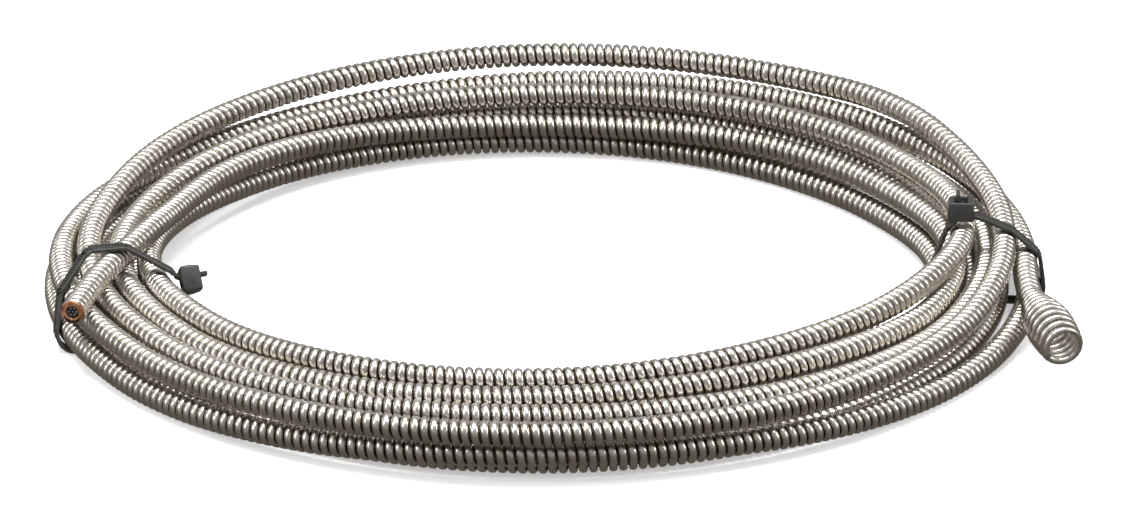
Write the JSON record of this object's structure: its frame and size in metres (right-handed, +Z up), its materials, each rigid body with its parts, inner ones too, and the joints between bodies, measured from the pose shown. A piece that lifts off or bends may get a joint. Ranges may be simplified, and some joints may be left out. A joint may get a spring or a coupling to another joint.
{
  "type": "drain auger",
  "caption": "Wire-wound steel drain cable coiled flat and held by two nylon ties, with a brazed drive end that shows its core and an open bulb auger on the other end.",
  "frame": {"origin": "middle of the bounding box, on the surface that the coil lies on", "axes": "+Z up out of the coil; +X from the tie at the drive end towards the tie at the bulb auger; -Y the way the bulb auger points"},
  "size_m": [0.3206, 0.3176, 0.0361],
  "materials": {
    "steel": "bright plated",
    "braze": "coppery, cut",
    "core": "dull",
    "nylon": "satin"
  },
  "bodies": {
    "coil": {"cable_coil": "steel", "tie_left": "nylon", "tie_right": "nylon"},
    "drive_end": {"drive_end_wire": "steel", "drive_end_braze": "braze", "core_strand_centre": "core", "core_strand_1": "core", "core_strand_2": "core", "core_strand_3": "core", "core_strand_4": "core", "core_strand_5": "core", "core_strand_6": "core"},
    "neck": {"auger_neck": "steel"},
    "bulb": {"bulb_auger": "steel"},
    "left_pawl": {"tie_left_pawl": "nylon"},
    "right_pawl": {"tie_right_pawl": "nylon"}
  },
  "joints": [
    {"name": "drive_end_lift", "type": "hinge", "parent": "coil", "child": "drive_end", "pos_m": [-0.14081, -0.04263, 0.02207], "axis": [-0.9781, 0.2079, 0], "range_deg": [0, 12], "stiffness_Nm_per_rad": 0.1},
    {"name": "neck_swing", "type": "hinge", "parent": "coil", "child": "neck", "pos_m": [0.14602, -0.02165, 0.0138], "axis": [0, 0, 1], "range_deg": [0, 12], "stiffness_Nm_per_rad": 0.1},
    {"name": "bulb_lift", "type": "hinge", "parent": "neck", "child": "bulb", "pos_m": [0.1464, -0.03598, 0.01301], "axis": [-0.9785, -0.2063, 0], "range_deg": [0, 12], "stiffness_Nm_per_rad": 0.08},
    {"name": "left_pawl_release", "type": "hinge", "parent": "coil", "child": "left_pawl", "pos_m": [-0.1146, -0.03118, 0.01532], "axis": [-0.1484, 0.8475, -0.5096], "range_deg": [0, 8], "stiffness_Nm_per_rad": 0.002},
    {"name": "right_pawl_release", "type": "hinge", "parent": "coil", "child": "right_pawl", "pos_m": [0.12776, -0.006, 0.02881], "axis": [0.061, 0.9981, 0], "range_deg": [0, 8], "stiffness_Nm_per_rad": 0.002}
  ]
}
